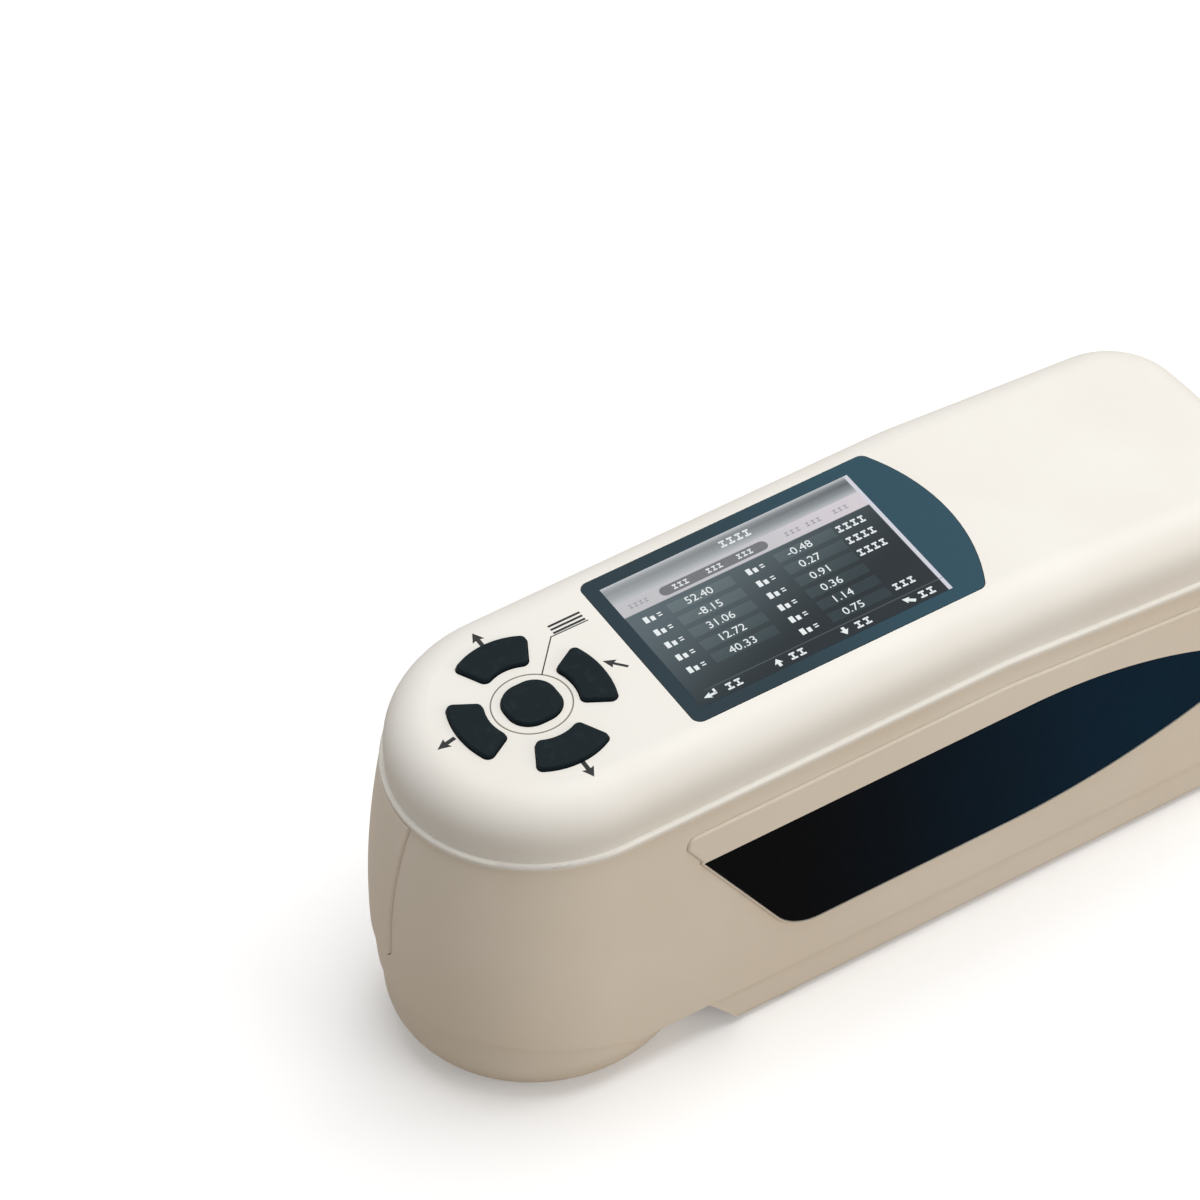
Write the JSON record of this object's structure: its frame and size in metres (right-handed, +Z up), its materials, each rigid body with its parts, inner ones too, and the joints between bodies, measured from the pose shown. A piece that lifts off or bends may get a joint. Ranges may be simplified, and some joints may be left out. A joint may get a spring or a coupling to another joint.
{
  "type": "portable colorimeter",
  "caption": "Hand-held colour measuring instrument with a round measuring nose, a display window, a five-key pad, a side trigger, rubber grips and a hinged battery door.",
  "frame": {"origin": "middle of the box that holds the object, at table level", "axes": "+Z up; the round nose points along -Y and the tail along +Y; +X is the right side for a user who holds the tail"},
  "size_m": [0.067, 0.205, 0.081],
  "materials": {
    "shell": "satin moulded plastic, warm off-white",
    "grip": "matte rubber, near black",
    "mat": "silicone",
    "key": "dark teal, nearly black",
    "window": "dark teal printed panel",
    "display": "display glass in a metal frame",
    "board": "green circuit board",
    "sphere": "matte white",
    "black": "matte black",
    "lens": "polished glass",
    "steel": "plain steel",
    "battery": "shrink wrap"
  },
  "bodies": {
    "body": {"top_cover": "shell", "housing": "shell", "nose_ring": "shell", "base_block": "shell", "grip_frame_left": "shell", "grip_frame_right": "shell", "grip_pad_left": "grip", "grip_pad_right": "grip", "feet": "grip", "keypad_mat": "mat", "display_window": "window", "display_module": "display", "main_board": "board", "tail_board": "board", "trigger_board": "board", "sensor_board": "board", "lamp_board": "board", "sphere_lower": "sphere", "sphere_upper": "sphere", "lens_barrel": "black", "lens": "lens", "port_plate": "steel", "door_pin": "steel", "battery_contacts": "steel", "usb_socket": "steel", "case_screws": "steel", "base_screws": "steel", "ring_screws": "steel", "board_screws": "steel", "tail_screws": "steel", "optics_screws": "steel", "battery_pack": "battery"},
    "key_centre": {"key_centre": "key"},
    "key_front": {"key_front": "key"},
    "key_rear": {"key_rear": "key"},
    "key_left": {"key_left": "key"},
    "key_right": {"key_right": "key"},
    "trigger": {"trigger": "shell"},
    "battery_door": {"battery_door": "shell"},
    "power_slider": {"power_slider": "black"}
  },
  "joints": [
    {"name": "key_centre_press", "type": "slide", "parent": "body", "child": "key_centre", "axis": [0, 0, -1], "range_m": [0, 0.0008], "stiffness_N_per_m": 800},
    {"name": "key_front_press", "type": "slide", "parent": "body", "child": "key_front", "axis": [0, 0, -1], "range_m": [0, 0.0008], "stiffness_N_per_m": 800},
    {"name": "key_rear_press", "type": "slide", "parent": "body", "child": "key_rear", "axis": [0, 0, -1], "range_m": [0, 0.0008], "stiffness_N_per_m": 800},
    {"name": "key_left_press", "type": "slide", "parent": "body", "child": "key_left", "axis": [0, 0, -1], "range_m": [0, 0.0008], "stiffness_N_per_m": 800},
    {"name": "key_right_press", "type": "slide", "parent": "body", "child": "key_right", "axis": [0, 0, -1], "range_m": [0, 0.0008], "stiffness_N_per_m": 800},
    {"name": "trigger_press", "type": "slide", "parent": "body", "child": "trigger", "axis": [0.4695, 0.8829, 0], "range_m": [0, 0.0012], "stiffness_N_per_m": 1500},
    {"name": "battery_door_hinge", "type": "hinge", "parent": "body", "child": "battery_door", "pos_m": [0, -0.0223, 0.0029], "axis": [-1, 0, 0], "range_deg": [0, 90]},
    {"name": "power_slide", "type": "slide", "parent": "body", "child": "power_slider", "axis": [1, 0, 0], "range_m": [0, 0.003]}
  ]
}
